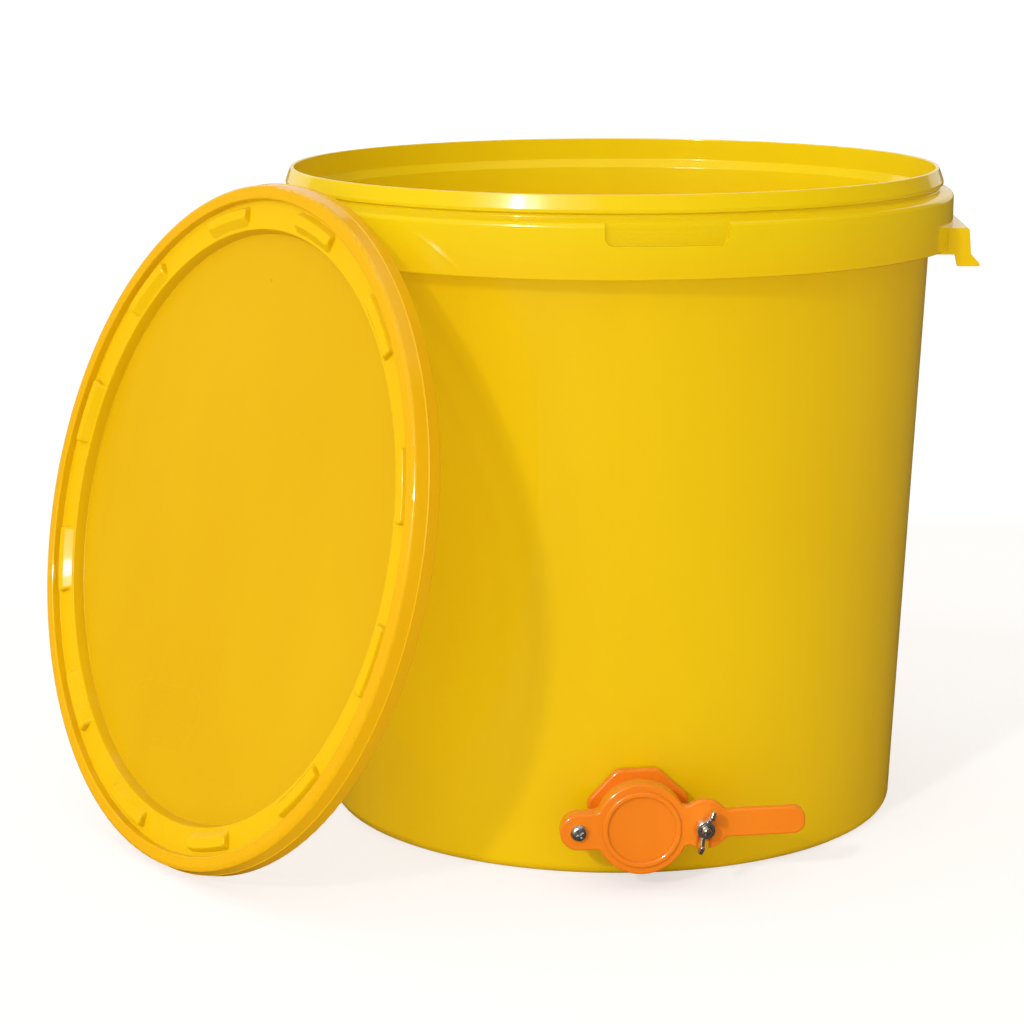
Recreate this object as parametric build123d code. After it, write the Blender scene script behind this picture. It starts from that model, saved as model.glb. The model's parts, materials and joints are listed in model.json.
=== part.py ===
from build123d import *

import os
from math import acos, asin, atan, cos, degrees, hypot, radians, sin, sqrt, tan

# Bottling bucket of about 33 litres: a moulded bucket with a collar, two side
# grips and a swinging honey gate, and its snap lid leaning against the collar.
#
# Millimetres, +Z up. The origin is on the bucket's axis, on the surface that it
# stands on. The gate faces -Y, so +X is on the right of someone at the gate.

os.makedirs("parts", exist_ok=True)

# Bucket wall and base
bucket_height = 376.0
base_radius = 166.9  # outside of the wall, carried down to the floor
wall_flare = 0.0472  # how far the wall leans out for each mm of height
wall = 2.2
base_thickness = 2.6
base_corner = 6.0
inner_corner = 4.0
foot_height = 3.0
foot_width = 6.0
foot_draft = 1.5
foot_round = 0.8
sprue_radius = 9.0
sprue_depth = 0.8

# Neck and lip, measured outward from the mouth and down from the top
mouth_step = 3.5  # from the inside of the wall out to the mouth
mouth_depth = 13.0
step_height = 5.0  # of the slope between the two
lip_wall = 2.0
neck_wall = 2.9
bead_proud = 1.8
bead_drop = 8.4
bead_width = 1.8
edge_round = 0.6

# Collar
neck_height = 14.5  # from the shoulder's outer edge to the top
collar_overhang = 11.8  # from the wall out to the collar
collar_depth = 29.0
collar_wall = 1.8
shoulder_rise = 2.7  # up to the foot of the neck
shoulder_wall = 2.2
shoulder_round = 3.0
hollow_round = 1.0
rib_count = 24
rib_thickness = 1.4
rib_setback = 5.0  # above the collar's lower edge

# Recessed panel in the collar, beside the gate
panel_azimuth = 3.3  # from -Y toward +X, in degrees
panel_width = 65.5
panel_drop_below_shoulder = 11.4
panel_recess = 3.0
panel_corner = 5.0
panel_backing = 1.8
bar_count = 4
bar_pitch = 2.4
bar_start = 2.2  # from the panel's lower edge to the first bar
bar_margin = 2.5  # from the panel's end to a bar's end
bar_width = 0.9
bar_proud = 0.5

# Side grips, one on each side of the collar
grip_turn = -5.1  # of the pair from the X axis, in degrees
grip_proud = 4.8  # from the collar out to the web
grip_half_width = 51.0
grip_drop = 17.0  # from the shoulder down to the grip's top
grip_height = 21.7
grip_wall = 1.9
grip_draft = 0.08  # how far the web leans out for each mm down
grip_lip = 5.0
grip_lip_height = 7.0
grip_lip_edge = 1.6
leg_width = 9.2
leg_draft = 1.6
leg_height = 6.6

# Gate: where it sits and what clamps it to the wall
gate_height = 35.6
gate_roll = 2.0  # the right end is higher, in degrees
tail_radius = 23.5
tail_length = 23.0  # from the back of the flange
tail_chamfer = 1.0
hole_clearance = 0.5
seat_gap = 0.1  # between rubber and the curved wall
flange_flats = 55.4
flange_sides = 8
flange_thickness = 4.5
flange_corner = 8.0
flange_edge = 1.8
gasket_radius = 27.0
gasket_middle = 2.4  # where the wall stands furthest out
inner_gasket_radius = 26.0
inner_gasket_edge = 0.8  # its thinnest place
nut_radius = 26.4
nut_lug_reach = 28.4
nut_lug_width = 7.0
nut_lug_count = 8
nut_thickness = 9.0
thread_clearance = 0.1

# Gate body and plate
bore_radius = 19.0
barrel_radius = 23.6
barrel_length = 9.9
disc_radius = 25.4
face_thickness = 5.0
ear_reach = 34.0  # from the bore's axis to the pivot, and to the clamp bolt
ear_radius = 10.2
junction_fillet = 3.0
sliding_gap = 0.1
plate_thickness = 4.5
plate_edge = 1.4
ring_radius = 21.3
ring_width = 3.0
ring_height = 1.5
ring_edge = 1.1
lobe_radius = 13.8
lobe_rise = 0.9
slot_clearance = 0.6
handle_tip = 88.5
handle_width = 15.4
handle_rise = 1.0
handle_corner = 6.5

# M5 fasteners
bolt_radius = 2.5
bolt_hole_clearance = 0.1
bolt_end_round = 2.0
pan_head_radius = 4.7
pan_head_height = 3.2
pan_head_rim = 1.0
pan_head_flat = 3.4  # radius of the crown
pan_head_crown = 0.5  # height of the crown
pan_head_round = 2.0
cross_width = 1.1
cross_length = 5.0
cross_depth = 1.5
cross_turn = 25.0  # in degrees
washer_radius = 5.0
washer_clearance = 0.15
washer_thickness = 1.0
hex_flats = 8.0
hex_head_height = 3.5
hex_pocket_depth = 2.0
hex_clearance = 0.1
lock_nut_height = 4.6
lock_nut_collar = 1.2
lock_nut_set_in = 0.3  # of the round collar from the flats
nut_clearance = 0.06
screw_overrun = 0.8

# Wing nut, its heights measured from the boss's foot
wing_base_radius = 5.7
wing_base_round = 0.4
wing_crown_radius = 4.9
wing_boss_height = 6.0
wing_span = 25.5
wing_height = 12.5
wing_thickness = 2.2
wing_foot = 0.8
wing_heel = 1.6  # from the boss out to where the wing turns up
wing_heel_rise = 0.6
wing_elbow_drop = 5.6  # from the wing's top down to its widest place
wing_tip_drop = 1.5
wing_tip_set_in = 0.4
wing_crest_set_in = 4.6
wing_saddle = 0.4
wing_round = 2.4
wing_turn = -20.0  # from upright, in degrees
bolt_overrun = 3.6  # of the clamp bolt past the boss

# Snap lid, its heights measured from the skirt's edge
lid_clearance = 0.1  # between the bead and the skirt
lid_skirt_wall = 1.5
lid_height = 15.0
lid_wall = 1.8
lid_band_height = 7.0
lid_band_step = 0.5
lid_band_round = 0.3
lid_taper = 2.0  # of the skirt above its band
lid_edge_round = 2.6
lid_inner_round = 1.0
lid_catch = 0.8
rim_width = 10.0
ledge_drop = 5.2
ledge_width = 16.0
ledge_draft = 1.5
panel_drop = 11.7
plug_clearance = 0.3
plug_wall = 1.6
plug_root = 2.4  # its thickness under the ledge
plug_projection = 3.0  # below the skirt's edge
plug_taper = 1.9
lug_count = 12
lug_phase = 16.5  # of the first lug from the lid's right-hand radius, in degrees
lug_length = 40.0
lug_rise = 3.9
lug_gap = 2.2  # between a lug and the rim
lug_set_in = 1.0  # of its inner side from the ledge's edge
lug_outer_slope = 2.4
lug_inner_slope = 5.1
lug_corner = 2.0
lug_round = 1.3

# How the lid leans
lid_azimuth = 57.5  # of the way that its face points, from -Y toward -X
lid_shift = -26.6  # of its centre, along its own horizontal
lid_gap = 0.3
wall_lean = 14.0  # its tilt where it is too short for the collar and meets the wall

# How far a piece that is added runs into the one it joins, and a cut past a face
overlap = 0.5
cut_past = 1.0


def wall_outside(height):
    """Outer radius of the bucket's wall at a height."""
    return base_radius + wall_flare * height


def wall_inside(height):
    """Inner radius of the bucket's wall at a height."""
    return wall_outside(height) - wall


# Heights and radii of the bucket's top that follow
floor_top = foot_height + base_thickness
shoulder_height = bucket_height - neck_height
shoulder_underside = shoulder_height - shoulder_wall
neck_base = shoulder_height + shoulder_rise
collar_bottom = shoulder_height - collar_depth
step_top = bucket_height - mouth_depth
step_bottom = step_top - step_height
bead_height = bucket_height - bead_drop
mouth_radius = wall_inside(step_bottom) + mouth_step
lip_radius = mouth_radius + lip_wall
neck_radius = mouth_radius + neck_wall
bead_radius = neck_radius + bead_proud
collar_radius = wall_outside(shoulder_height) + collar_overhang
collar_inside = collar_radius - collar_wall

# Radii of the lid that follow
skirt_inside = bead_radius + lid_clearance
lid_radius = skirt_inside + lid_skirt_wall
rim_inside = lid_radius - rim_width
plug_radius = mouth_radius - plug_clearance
plug_tip = plug_radius - plug_taper

# Distances of the gate's faces from the bucket's axis that follow
wall_face = wall_outside(gate_height)
flange_back = wall_face + gasket_middle
flange_front = flange_back + flange_thickness
barrel_front = flange_front + barrel_length
body_face = barrel_front + face_thickness
plate_back = body_face + sliding_gap
plate_front = plate_back + plate_thickness
washer_back = plate_front + sliding_gap
washer_front = washer_back + washer_thickness
wing_base = washer_front + sliding_gap
bolt_tip = wing_base + wing_boss_height + bolt_overrun
tail_end = flange_back - tail_length
lowest_seat = wall_inside(gate_height - inner_gasket_radius)
nut_face = sqrt(lowest_seat**2 - inner_gasket_radius**2) - inner_gasket_edge
bolt_hole = bolt_radius + bolt_hole_clearance

# The gate's own frame: x along the handle, y up, z out along the bore's axis
gate_x = Vector(cos(radians(gate_roll)), 0, sin(radians(gate_roll)))
gate_plane = Plane(origin=(0, 0, gate_height), x_dir=gate_x, z_dir=(0, -1, 0))
pivot = Pos(-ear_reach, 0)
clamp = Pos(ear_reach, 0)


def outline(corners):
    """Closed face through (x, y) or (x, y, rounding) corners."""
    points = [corner[:2] for corner in corners]
    rounding = [corner[2] if len(corner) > 2 else 0 for corner in corners]
    return make_face(FilletPolyline(*points, radius=rounding, close=True))


def turned(corners, arc=360.0):
    """Solid of revolution about Z from corners given as (radius, height)."""
    return revolve(Plane.XZ * outline(corners), Axis.Z, revolution_arc=arc)


def disc(radius, low, high):
    """Cylinder on the local axis between two distances along it."""
    return Pos(0, 0, low) * Cylinder(radius, high - low, align=(Align.CENTER, Align.CENTER, Align.MIN))


def prism(face, low, high):
    """A flat outline made solid between two distances along the local axis."""
    return Pos(0, 0, low) * extrude(face, high - low)


def hexagon(flats, low, high):
    """Hexagonal prism on the local axis, by its size across flats."""
    return prism(RegularPolygon(flats / 2, 6, major_radius=False), low, high)


def wall_cone(offset, inside=False):
    """Solid of everything within the wall's outer or inner face, plus an offset."""
    radius = wall_inside if inside else wall_outside
    height = bucket_height
    low, high = radius(0) + offset, radius(height) + offset
    return Cone(low, high, height, align=(Align.CENTER, Align.CENTER, Align.MIN))


def bucket_shell():
    """The turned shape: base, wall, collar, neck and lip in one section."""
    foot_inside = base_radius - base_corner - foot_width
    half_bead = bead_width / 2
    return turned([
        (0, foot_height),
        (foot_inside - foot_draft, foot_height, foot_round),
        (foot_inside, 0, foot_round),
        (base_radius, 0, base_corner),
        (wall_outside(shoulder_underside), shoulder_underside, hollow_round),
        (collar_inside, shoulder_underside, hollow_round),
        (collar_inside, collar_bottom),
        (collar_radius, collar_bottom, edge_round),
        (collar_radius, shoulder_height, shoulder_round),
        (neck_radius, neck_base, edge_round),
        (neck_radius, bead_height - 2 * half_bead, edge_round),
        (bead_radius, bead_height - half_bead, edge_round),
        (bead_radius, bead_height + half_bead, edge_round),
        (lip_radius, bucket_height, edge_round),
        (mouth_radius, bucket_height, edge_round),
        (mouth_radius, step_top, edge_round),
        (wall_inside(step_bottom), step_bottom, edge_round),
        (wall_inside(floor_top), floor_top, inner_corner),
        (0, floor_top),
    ])


def collar_ribs():
    """Radial ribs in the hollow behind the collar, left out where the grips are."""
    low = collar_bottom + rib_setback
    high = shoulder_underside + overlap
    reach = collar_inside + overlap
    sink = wall / 4
    profile = outline([
        (wall_outside(low) - sink, low),
        (reach, low),
        (reach, high),
        (wall_outside(high) - sink, high),
    ])
    rib = extrude(Plane.XZ * profile, rib_thickness / 2, both=True)
    grip_angle = degrees(asin(grip_half_width / collar_inside))
    pitch = 360 / rib_count
    ribs = []
    for index in range(rib_count):
        angle = (index + 0.5) * pitch
        from_grip = abs((angle - grip_turn + 90) % 180 - 90)
        if from_grip > grip_angle + pitch / 8:
            ribs.append(Rot(0, 0, angle) * rib)
    return ribs


def sector(corners, width):
    """A turned piece as wide as a chord of the collar, centred on the recessed panel."""
    arc = 2 * degrees(asin(width / 2 / collar_radius))
    middle = panel_azimuth - 90
    return Rot(0, 0, middle - arc / 2) * turned(corners, arc)


def rectangle_corners(r_low, r_high, z_low, z_high):
    """Corners of an upright rectangular section."""
    return [(r_low, z_low), (r_high, z_low), (r_high, z_high), (r_low, z_high)]


def panel_pieces():
    """The backing to add behind the collar, the recess to cut, and the bars to add."""
    floor_radius = collar_radius - panel_recess
    low = shoulder_height - panel_drop_below_shoulder
    backing = sector(
        rectangle_corners(floor_radius - panel_backing, collar_inside + overlap,
                          low - panel_backing, shoulder_underside + overlap),
        panel_width + 2 * panel_backing)
    recess = sector(
        rectangle_corners(floor_radius, collar_radius + cut_past, low, neck_base + cut_past),
        panel_width)
    lower_edges = recess.edges().filter_by(GeomType.LINE).group_by(Axis.Z)[0]
    recess = fillet(lower_edges, panel_corner)
    bars = []
    for index in range(bar_count):
        middle = low + bar_start + index * bar_pitch
        bars.append(sector(
            rectangle_corners(floor_radius - overlap, floor_radius + bar_proud,
                              middle - bar_width / 2, middle + bar_width / 2),
            panel_width - 2 * bar_margin))
    return backing, recess, bars


def grip_pieces():
    """One grip on +X, and the room for the fingers that is cut behind its web."""
    top = shoulder_height - grip_drop
    bottom = top - grip_height
    reach = collar_radius + grip_proud
    knee = bottom + grip_lip_height
    foot = reach + grip_draft * (top - knee)
    leg = foot - leg_width
    below = bottom - cut_past
    side = [
        (0, top),
        (reach, top, grip_wall),
        (foot, knee, 2 * grip_wall),
        (foot + grip_lip, bottom + grip_lip_edge, edge_round),
        (foot + grip_lip, bottom),
        (leg + leg_draft, bottom, edge_round),
        (leg, bottom + leg_height, edge_round),
        (0, bottom + leg_height),
    ]
    ceiling = top - grip_wall
    hollow = [
        (0, ceiling),
        (reach - grip_wall, ceiling, edge_round),
        (foot - grip_wall, knee, grip_wall),
        (foot + grip_lip - grip_wall, bottom + grip_lip_edge, edge_round),
        (foot + grip_lip - grip_wall, below),
        (0, below),
    ]
    block = extrude(Plane.XZ * outline(side), grip_half_width, both=True)
    room = extrude(Plane.XZ * outline(hollow), grip_half_width - grip_wall, both=True)
    behind = disc(collar_inside, below, top + cut_past) & Pos(0, 0, below) * Box(
        reach, 2 * (grip_half_width - grip_wall), grip_height + 2 * cut_past,
        align=(Align.MIN, Align.CENTER, Align.MIN))
    grip = block - room - behind - wall_cone(-wall / 2)
    fingers = room - wall_cone(wall / 2)
    return grip, fingers


def make_bucket():
    """The moulded bucket with its collar, recessed panel, grips and gate hole."""
    body = bucket_shell()
    body -= disc(sprue_radius, foot_height, foot_height + sprue_depth)
    grip, fingers = grip_pieces()
    backing, recess, bars = panel_pieces()
    body += [*collar_ribs(), backing]
    body -= recess
    body += bars
    for half_turn in (0, 180):
        place = Rot(0, 0, grip_turn + half_turn)
        body -= place * fingers
        body += place * grip
    hole = disc(tail_radius + hole_clearance, tail_end, flange_front)
    return body - gate_plane * hole


def lug_corners(low, inset):
    """Section of a stacking lug, or of its hollow: the sides lean in toward the top."""
    high = lid_height - ledge_drop + lug_rise - inset
    inner = rim_inside - ledge_width + lug_set_in + inset
    outer = rim_inside - lug_gap - inset
    return [
        (inner, low),
        (outer, low),
        (outer - lug_outer_slope, high),
        (inner + lug_inner_slope, high),
    ]


def lug_pieces():
    """One stacking lug on +X to add to the ledge, and the hollow to cut from below."""
    ledge = lid_height - ledge_drop
    reach = rim_inside - lug_gap
    arc = degrees(lug_length / reach)
    lug = Rot(0, 0, -arc / 2) * turned(lug_corners(ledge - lid_wall / 2, 0), arc)
    ends = [edge for edge in lug.edges().filter_by(GeomType.LINE)
            if edge.bounding_box().size.Z > lug_rise]
    lug = fillet(ends, lug_corner)
    lug = fillet(lug.faces().sort_by(Axis.Z)[-1].edges(), lug_round)
    hollow_arc = degrees((lug_length - 2 * lid_wall) / reach)
    hollow = turned(lug_corners(ledge - lid_wall - cut_past, lid_wall), hollow_arc)
    return lug, Rot(0, 0, -hollow_arc / 2) * hollow


def make_lid():
    """The snap lid, standing on its skirt's edge with its axis on Z."""
    web = lid_height - lid_wall
    ledge = lid_height - ledge_drop
    ledge_inside = rim_inside - ledge_width
    panel = lid_height - panel_drop
    panel_edge = ledge_inside - ledge_draft
    catch = skirt_inside - lid_catch
    taper_start = lid_radius - lid_band_step
    lid = turned([
        (0, panel - lid_wall),
        (panel_edge + lid_wall, panel - lid_wall, edge_round),
        (ledge_inside + lid_wall, ledge - lid_wall, edge_round),
        (plug_radius - plug_root, ledge - lid_wall, edge_round),
        (plug_tip - plug_wall, -plug_projection, edge_round),
        (plug_tip, -plug_projection, edge_round),
        (plug_radius, web, edge_round),
        (skirt_inside - lid_taper, web, edge_round),
        (skirt_inside, lid_band_height),
        (skirt_inside, lid_band_height / 2),
        (catch, lid_band_height / 2 - lid_catch),
        (catch, lid_catch),
        (skirt_inside, 0),
        (lid_radius, 0, edge_round),
        (lid_radius, lid_band_height, lid_band_round),
        (taper_start, lid_band_height + lid_band_step, lid_band_round),
        (taper_start - lid_taper, lid_height, lid_edge_round),
        (rim_inside, lid_height, lid_inner_round),
        (rim_inside, ledge, edge_round),
        (ledge_inside, ledge, edge_round),
        (panel_edge, panel, edge_round),
        (0, panel),
    ])
    lug, hollow = lug_pieces()
    places = [Rot(0, 0, lug_phase + index * 360 / lug_count) for index in range(lug_count)]
    lid += [place * lug for place in places]
    return lid - [place * hollow for place in places]


def lid_plane():
    """Where the lid leans: its foot on the ground, its plug against the collar or the wall."""
    azimuth = radians(lid_azimuth)
    across = Vector(cos(azimuth), -sin(azimuth), 0)
    outward = Vector(-sin(azimuth), -cos(azimuth), 0)
    foot = lid_radius - edge_round
    arm = sqrt((plug_tip - plug_wall / 2)**2 - lid_shift**2)
    slope = atan(shoulder_rise / (collar_radius - neck_radius))
    round_height = shoulder_height + shoulder_round * (tan(slope) - 1 / cos(slope))
    depth = shoulder_round + lid_gap + plug_projection + edge_round
    share = (round_height - edge_round) / hypot(foot + arm, depth)
    tilt = acos(min(share, 1)) - atan(depth / (foot + arm))
    if tilt > 0:
        reach = (collar_radius - shoulder_round) * cos(tilt)
        stand_off = reach + round_height * sin(tilt) + shoulder_round
    else:
        below_collar = (collar_bottom - edge_round) / (2 * lid_radius)
        tilt = acos(min(below_collar, cos(radians(wall_lean))))
        height = (foot + arm) * cos(tilt) + edge_round * (1 - sin(tilt))
        stand_off = wall_outside(height) * cos(tilt) + height * sin(tilt)
    stand_off += lid_gap + plug_projection
    centre_height = foot * cos(tilt) + edge_round * (1 - sin(tilt))
    distance = (stand_off - centre_height * sin(tilt)) / cos(tilt)
    centre = outward * distance + across * lid_shift + Vector(0, 0, centre_height)
    print(f"the lid leans by {degrees(tilt):.2f} degrees")
    normal = outward * cos(tilt) + Vector(0, 0, sin(tilt))
    return Plane(origin=centre, x_dir=across, z_dir=normal)


def make_outer_gasket():
    """Rubber ring between the gate's flange and the curved wall."""
    ring = disc(gasket_radius, wall_face / 2, flange_back)
    ring -= disc(tail_radius + hole_clearance, 0, flange_front)
    return gate_plane * ring - wall_cone(seat_gap)


def make_inner_gasket():
    """Rubber ring between the lock nut and the inside of the wall."""
    ring = disc(inner_gasket_radius, nut_face, flange_back)
    ring -= disc(tail_radius + hole_clearance, 0, flange_front)
    return gate_plane * ring & wall_cone(-seat_gap, inside=True)


def make_lock_nut():
    """Ring nut with lugs round it, inside the bucket."""
    face = Circle(nut_radius)
    reach = nut_lug_reach - tail_radius
    lug = Pos(tail_radius + reach / 2, 0) * Rectangle(reach, nut_lug_width)
    for index in range(nut_lug_count):
        face += Rot(0, 0, (index + 0.5) * 360 / nut_lug_count) * lug
    face &= Circle(nut_lug_reach)
    face -= Circle(tail_radius + thread_clearance)
    return gate_plane * prism(face, nut_face - nut_thickness, nut_face)


def ear_face(radius):
    """One ear on the left, running into the disc."""
    return pivot * Circle(radius) + Pos(-ear_reach / 2, 0) * Rectangle(ear_reach, 2 * radius)


def body_face_outline():
    """The body's front outline: a disc with an ear on each side."""
    face = Circle(disc_radius) + ear_face(ear_radius) + mirror(ear_face(ear_radius), Plane.YZ)
    corners = [v for v in face.vertices() if abs(v.X) < disc_radius and abs(v.Y) > ear_radius / 2]
    return fillet(corners, junction_fillet)


def make_gate_body():
    """Octagonal flange, barrel, front face with two ears, and tail, moulded in one piece."""
    octagon = RegularPolygon(
        flange_flats / 2, flange_sides, major_radius=False, rotation=180 / flange_sides)
    octagon = fillet(octagon.vertices(), flange_corner)
    flange = prism(octagon, flange_back, flange_front)
    front = flange.faces().sort_by(Axis.Z)[-1]
    flange = fillet(front.edges(), flange_edge)
    tail = disc(tail_radius, tail_end, flange_front)
    tail = chamfer(tail.faces().sort_by(Axis.Z)[0].edges(), tail_chamfer)
    face = prism(body_face_outline(), barrel_front, body_face)
    body = flange + tail + disc(barrel_radius, flange_back, body_face) + face
    body -= disc(bore_radius, tail_end - cut_past, body_face + cut_past)
    hole = disc(bolt_hole, barrel_front - cut_past, body_face + cut_past)
    body -= [pivot * hole, clamp * hole]
    body -= clamp * hexagon(
        hex_flats + 2 * hex_clearance, barrel_front - cut_past, barrel_front + hex_pocket_depth)
    return gate_plane * body


def plate_outline():
    """Disc, pivot ear, clamp lobe and handle, with the open slot beside the bolt."""
    lobe = Pos(ear_reach, lobe_rise) * Circle(lobe_radius)
    grip = Pos(handle_tip / 2, handle_rise) * Rectangle(handle_tip, handle_width)
    grip = fillet(grip.vertices().sort_by(Axis.X)[-2:], handle_corner)
    face = Circle(disc_radius) + ear_face(ear_radius) + lobe + grip
    lobe_middle, lobe_end = ear_reach + lobe_radius / 2, ear_reach + lobe_radius
    corners = [v for v in face.vertices()
               if abs(v.X) < disc_radius and abs(v.Y) > ear_radius / 2
               or lobe_middle < v.X < lobe_end]
    face = fillet(corners, junction_fillet)
    half_slot = bolt_radius + slot_clearance
    track = Circle(2 * ear_reach + half_slot) - Circle(2 * ear_reach - half_slot)
    reach = 2 * (ear_reach + half_slot)
    below = Polygon((0, 0), (reach, 0), (reach, -reach / 2), align=None)
    return face - pivot * (track & below) - clamp * Circle(half_slot)


def make_gate_plate():
    """The swinging plate that closes the bore, with its handle."""
    plate = prism(plate_outline(), plate_back, plate_front)
    rim = plate.faces().sort_by(Axis.Z)[-1].outer_wire().edges()
    plate = fillet(rim, plate_edge)
    ring = prism(Circle(ring_radius) - Circle(ring_radius - ring_width),
                 plate_front - overlap, plate_front + ring_height)
    plate += fillet(ring.faces().sort_by(Axis.Z)[-1].edges(), ring_edge)
    plate -= pivot * disc(bolt_hole, plate_back - cut_past, plate_front + cut_past)
    return gate_plane * plate


def make_pivot_screw():
    """Cross-head screw through the plate's ear and the body's ear."""
    nut_back = barrel_front - 2 * sliding_gap - washer_thickness - lock_nut_height
    head_base = plate_front + sliding_gap
    head_top = head_base + pan_head_height
    screw = turned([
        (0, nut_back - screw_overrun),
        (bolt_radius, nut_back - screw_overrun, edge_round),
        (bolt_radius, head_base),
        (pan_head_radius, head_base),
        (pan_head_radius, head_base + pan_head_rim, edge_round),
        (pan_head_flat, head_top - pan_head_crown, pan_head_round),
        (0, head_top),
    ])
    cross = Rectangle(cross_length, cross_width) + Rectangle(cross_width, cross_length)
    recess = Rot(0, 0, cross_turn) * prism(cross, head_top - cross_depth, head_top + cut_past)
    return gate_plane * pivot * (screw - recess)


def flat_washer(low):
    """M5 washer from a distance along the local axis."""
    high = low + washer_thickness
    hole = disc(bolt_radius + washer_clearance, low - cut_past, high + cut_past)
    return disc(washer_radius, low, high) - hole


def make_pivot_washer():
    """Washer behind the body's left ear."""
    return gate_plane * pivot * flat_washer(barrel_front - sliding_gap - washer_thickness)


def make_pivot_nut():
    """Lock nut on the pivot screw, with the round collar of its insert."""
    high = barrel_front - 2 * sliding_gap - washer_thickness
    low = high - lock_nut_height
    nut = hexagon(hex_flats, low + lock_nut_collar, high)
    nut += disc(hex_flats / 2 - lock_nut_set_in, low, high)
    nut -= disc(bolt_radius + nut_clearance, low - cut_past, high + cut_past)
    return gate_plane * pivot * nut


def make_clamp_bolt():
    """Hexagon bolt held in the ear's pocket, with a rounded end."""
    pocket_floor = barrel_front + hex_pocket_depth - sliding_gap
    head = hexagon(hex_flats, pocket_floor - hex_head_height, pocket_floor)
    shank = disc(bolt_radius, pocket_floor - overlap, bolt_tip)
    shank = fillet(shank.faces().sort_by(Axis.Z)[-1].edges(), bolt_end_round)
    return gate_plane * clamp * (head + shank)


def make_clamp_washer():
    """Washer between the plate and the wing nut."""
    return gate_plane * clamp * flat_washer(washer_back)


def make_wing_nut():
    """Wing nut: a tapered boss with two wings swept forward."""
    tip = wing_span / 2
    heel = wing_foot + wing_heel_rise
    saddle = wing_boss_height - wing_saddle
    wing = outline([
        (wing_crown_radius / 2, wing_foot),
        (wing_base_radius + wing_heel, heel, wing_round),
        (tip, wing_height - wing_elbow_drop, wing_round),
        (tip - wing_tip_set_in, wing_height - wing_tip_drop, wing_tip_drop),
        (tip - wing_crest_set_in, wing_height, wing_tip_drop),
        (wing_crown_radius + wing_saddle, saddle, wing_round),
        (wing_crown_radius / 2, saddle),
    ])
    blade = extrude(Plane.XZ * wing, wing_thickness / 2, both=True)
    blade = fillet(blade.faces().filter_by(Axis.Y).edges(), edge_round)
    boss = turned([
        (0, 0),
        (wing_base_radius, 0, wing_base_round),
        (wing_crown_radius, wing_boss_height, edge_round),
        (0, wing_boss_height),
    ])
    nut = boss + blade + Rot(0, 0, 180) * blade
    nut -= disc(bolt_radius + nut_clearance, -cut_past, wing_boss_height + cut_past)
    return gate_plane * clamp * Pos(0, 0, wing_base) * Rot(0, 0, 90 + wing_turn) * nut


nodes = {
    "bucket": make_bucket(),
    "lid": lid_plane() * make_lid(),
    "outer_gasket": make_outer_gasket(),
    "inner_gasket": make_inner_gasket(),
    "lock_nut": make_lock_nut(),
    "gate_body": make_gate_body(),
    "gate_plate": make_gate_plate(),
    "pivot_screw": make_pivot_screw(),
    "pivot_washer": make_pivot_washer(),
    "pivot_nut": make_pivot_nut(),
    "clamp_bolt": make_clamp_bolt(),
    "clamp_washer": make_clamp_washer(),
    "wing_nut": make_wing_nut(),
}
for name, piece in nodes.items():
    export_step(piece, f"parts/{name}.step")

litres = nodes["bucket"].volume / 1e6
print(f"mouth radius {mouth_radius:.2f}, bead {bead_radius:.2f}, collar {collar_radius:.2f}")
print(f"gate faces at {flange_back:.2f} {body_face:.2f} {plate_front:.2f}, bolt tip {bolt_tip:.2f}")
print(f"tail end {tail_end:.2f}, nut face {nut_face:.2f}, bucket's own volume {litres:.3f} litres")
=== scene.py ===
# %% [markdown]
# # A bottling bucket
#
# A yellow moulded bucket with an orange gate low on its wall, and its lid leaning on it.
# The solids come in packed and at their real size, and they never move. This lesson lights
# them, gives each plastic and metal its finish, and models the small parts that the solids
# leave plain. Everything is in metres, with Z up and the gate facing -Y.

import json
from math import atan2, cos, degrees, pi, radians, sin, tan

import bmesh
import bpy
import numpy as np
from mathutils import Matrix, Vector


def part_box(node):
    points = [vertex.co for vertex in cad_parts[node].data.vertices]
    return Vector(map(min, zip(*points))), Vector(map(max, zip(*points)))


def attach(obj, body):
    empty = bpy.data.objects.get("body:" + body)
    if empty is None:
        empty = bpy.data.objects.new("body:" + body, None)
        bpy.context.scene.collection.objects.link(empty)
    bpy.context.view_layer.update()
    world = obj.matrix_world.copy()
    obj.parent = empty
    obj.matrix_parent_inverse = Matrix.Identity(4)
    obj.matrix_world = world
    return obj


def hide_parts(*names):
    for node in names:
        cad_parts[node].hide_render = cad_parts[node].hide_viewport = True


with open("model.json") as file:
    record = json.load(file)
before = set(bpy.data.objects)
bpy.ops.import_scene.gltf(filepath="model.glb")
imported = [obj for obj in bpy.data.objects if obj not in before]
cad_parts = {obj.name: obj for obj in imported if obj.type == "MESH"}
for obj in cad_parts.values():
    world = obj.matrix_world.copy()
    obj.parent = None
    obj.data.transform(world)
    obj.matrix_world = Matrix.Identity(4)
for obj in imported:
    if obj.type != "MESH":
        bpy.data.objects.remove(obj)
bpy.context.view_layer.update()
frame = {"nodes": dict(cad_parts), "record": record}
record = frame["record"]
nodes = frame["nodes"]
scene = bpy.context.scene
MM = 0.001

# %% [markdown]
# ## The camera
#
# The photograph was taken from a little above the rim with a long lens, slightly to the left
# of the gate. A camera's own axes make its turn easiest to read: it is tipped from looking
# straight down, then turned to its heading. The image is square, so one focal length does.

# %% Place the camera
CAMERA_PLACE = Vector((-0.1474, -1.6513, 0.5200))
CAMERA_HEADING = radians(3.051)  # from +Y toward +X
CAMERA_PITCH = radians(11.949)  # below the horizon
CAMERA_ROLL = radians(-0.120)
CAMERA_SENSOR = 36.0  # both in millimetres, as on a real camera
CAMERA_LENS = 100.0

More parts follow.
